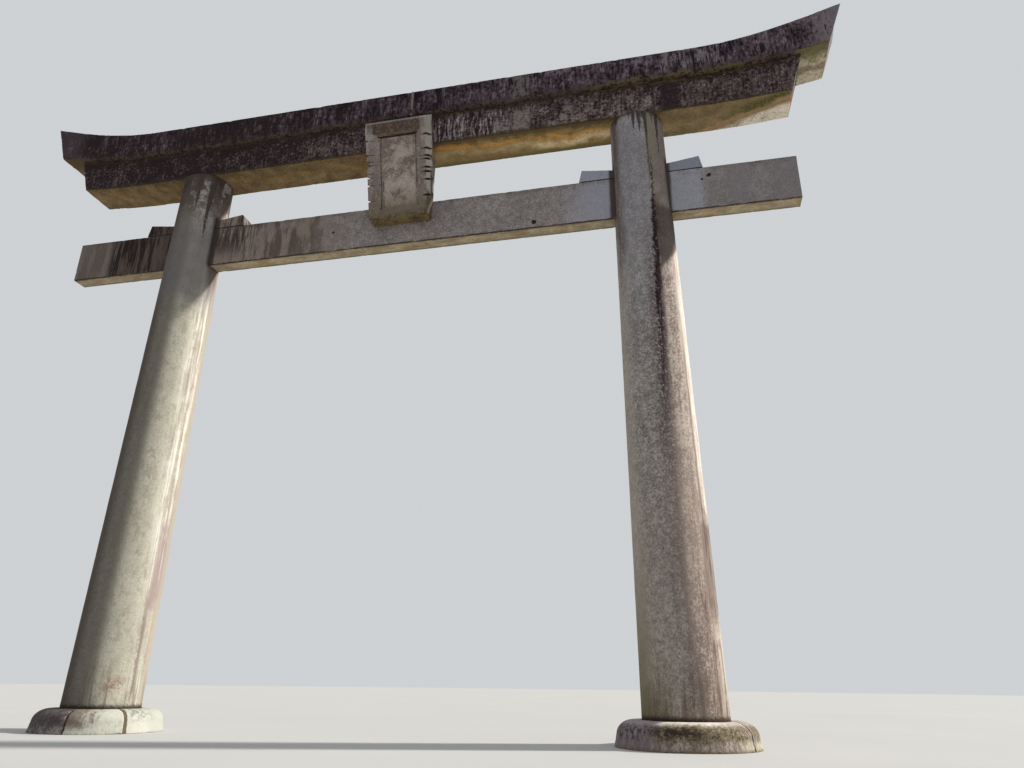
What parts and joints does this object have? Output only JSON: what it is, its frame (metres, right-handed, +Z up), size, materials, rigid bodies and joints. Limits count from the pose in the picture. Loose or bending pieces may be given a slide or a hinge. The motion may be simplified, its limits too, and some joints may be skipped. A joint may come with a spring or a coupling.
{
  "type": "stone torii gate",
  "caption": "Free-standing granite torii with battered round pillars, turtle-back base stones, a wedged tie beam, a leaning plaque and a two-layer lintel with upswept ends.",
  "frame": {"origin": "centre of the gate's passage, on the ground", "axes": "+X along the lintel to the right as seen from the front, -Y the front with the plaque, +Z up"},
  "size_m": [10.62, 1.28, 7.98],
  "materials": {
    "pillar_granite": "bush-hammered grey granite with brown rain stains",
    "base_granite": "bush-hammered grey granite with dark moss bands",
    "beam_granite": "finely dressed grey granite, speckled, stained below",
    "lintel_granite": "rough granite, almost black with lichen, ochre underneath",
    "plaque_granite": "carved grey-brown granite",
    "lime_mortar": "brown lime mortar, slightly recessed"
  },
  "bodies": {
    "root": {"base_mortar_left_1": "lime_mortar", "base_mortar_left_2": "lime_mortar", "base_mortar_left_3": "lime_mortar", "base_mortar_left_4": "lime_mortar", "base_mortar_right_1": "lime_mortar", "base_mortar_right_2": "lime_mortar", "base_mortar_right_3": "lime_mortar", "base_mortar_right_4": "lime_mortar", "base_stone_left_1": "base_granite", "base_stone_left_2": "base_granite", "base_stone_left_3": "base_granite", "base_stone_left_4": "base_granite", "base_stone_right_1": "base_granite", "base_stone_right_2": "base_granite", "base_stone_right_3": "base_granite", "base_stone_right_4": "base_granite", "lower_lintel_left": "lintel_granite", "lower_lintel_mortar": "lime_mortar", "lower_lintel_right": "lintel_granite", "pillar_left": "pillar_granite", "pillar_right": "pillar_granite", "plaque": "plaque_granite", "strut": "beam_granite", "tie_beam": "beam_granite", "upper_lintel_left": "lintel_granite", "upper_lintel_mortar": "lime_mortar", "upper_lintel_right": "lintel_granite", "wedge_left_inner": "beam_granite", "wedge_left_outer": "beam_granite", "wedge_right_inner": "beam_granite", "wedge_right_outer": "beam_granite"}
  },
  "joints": []
}
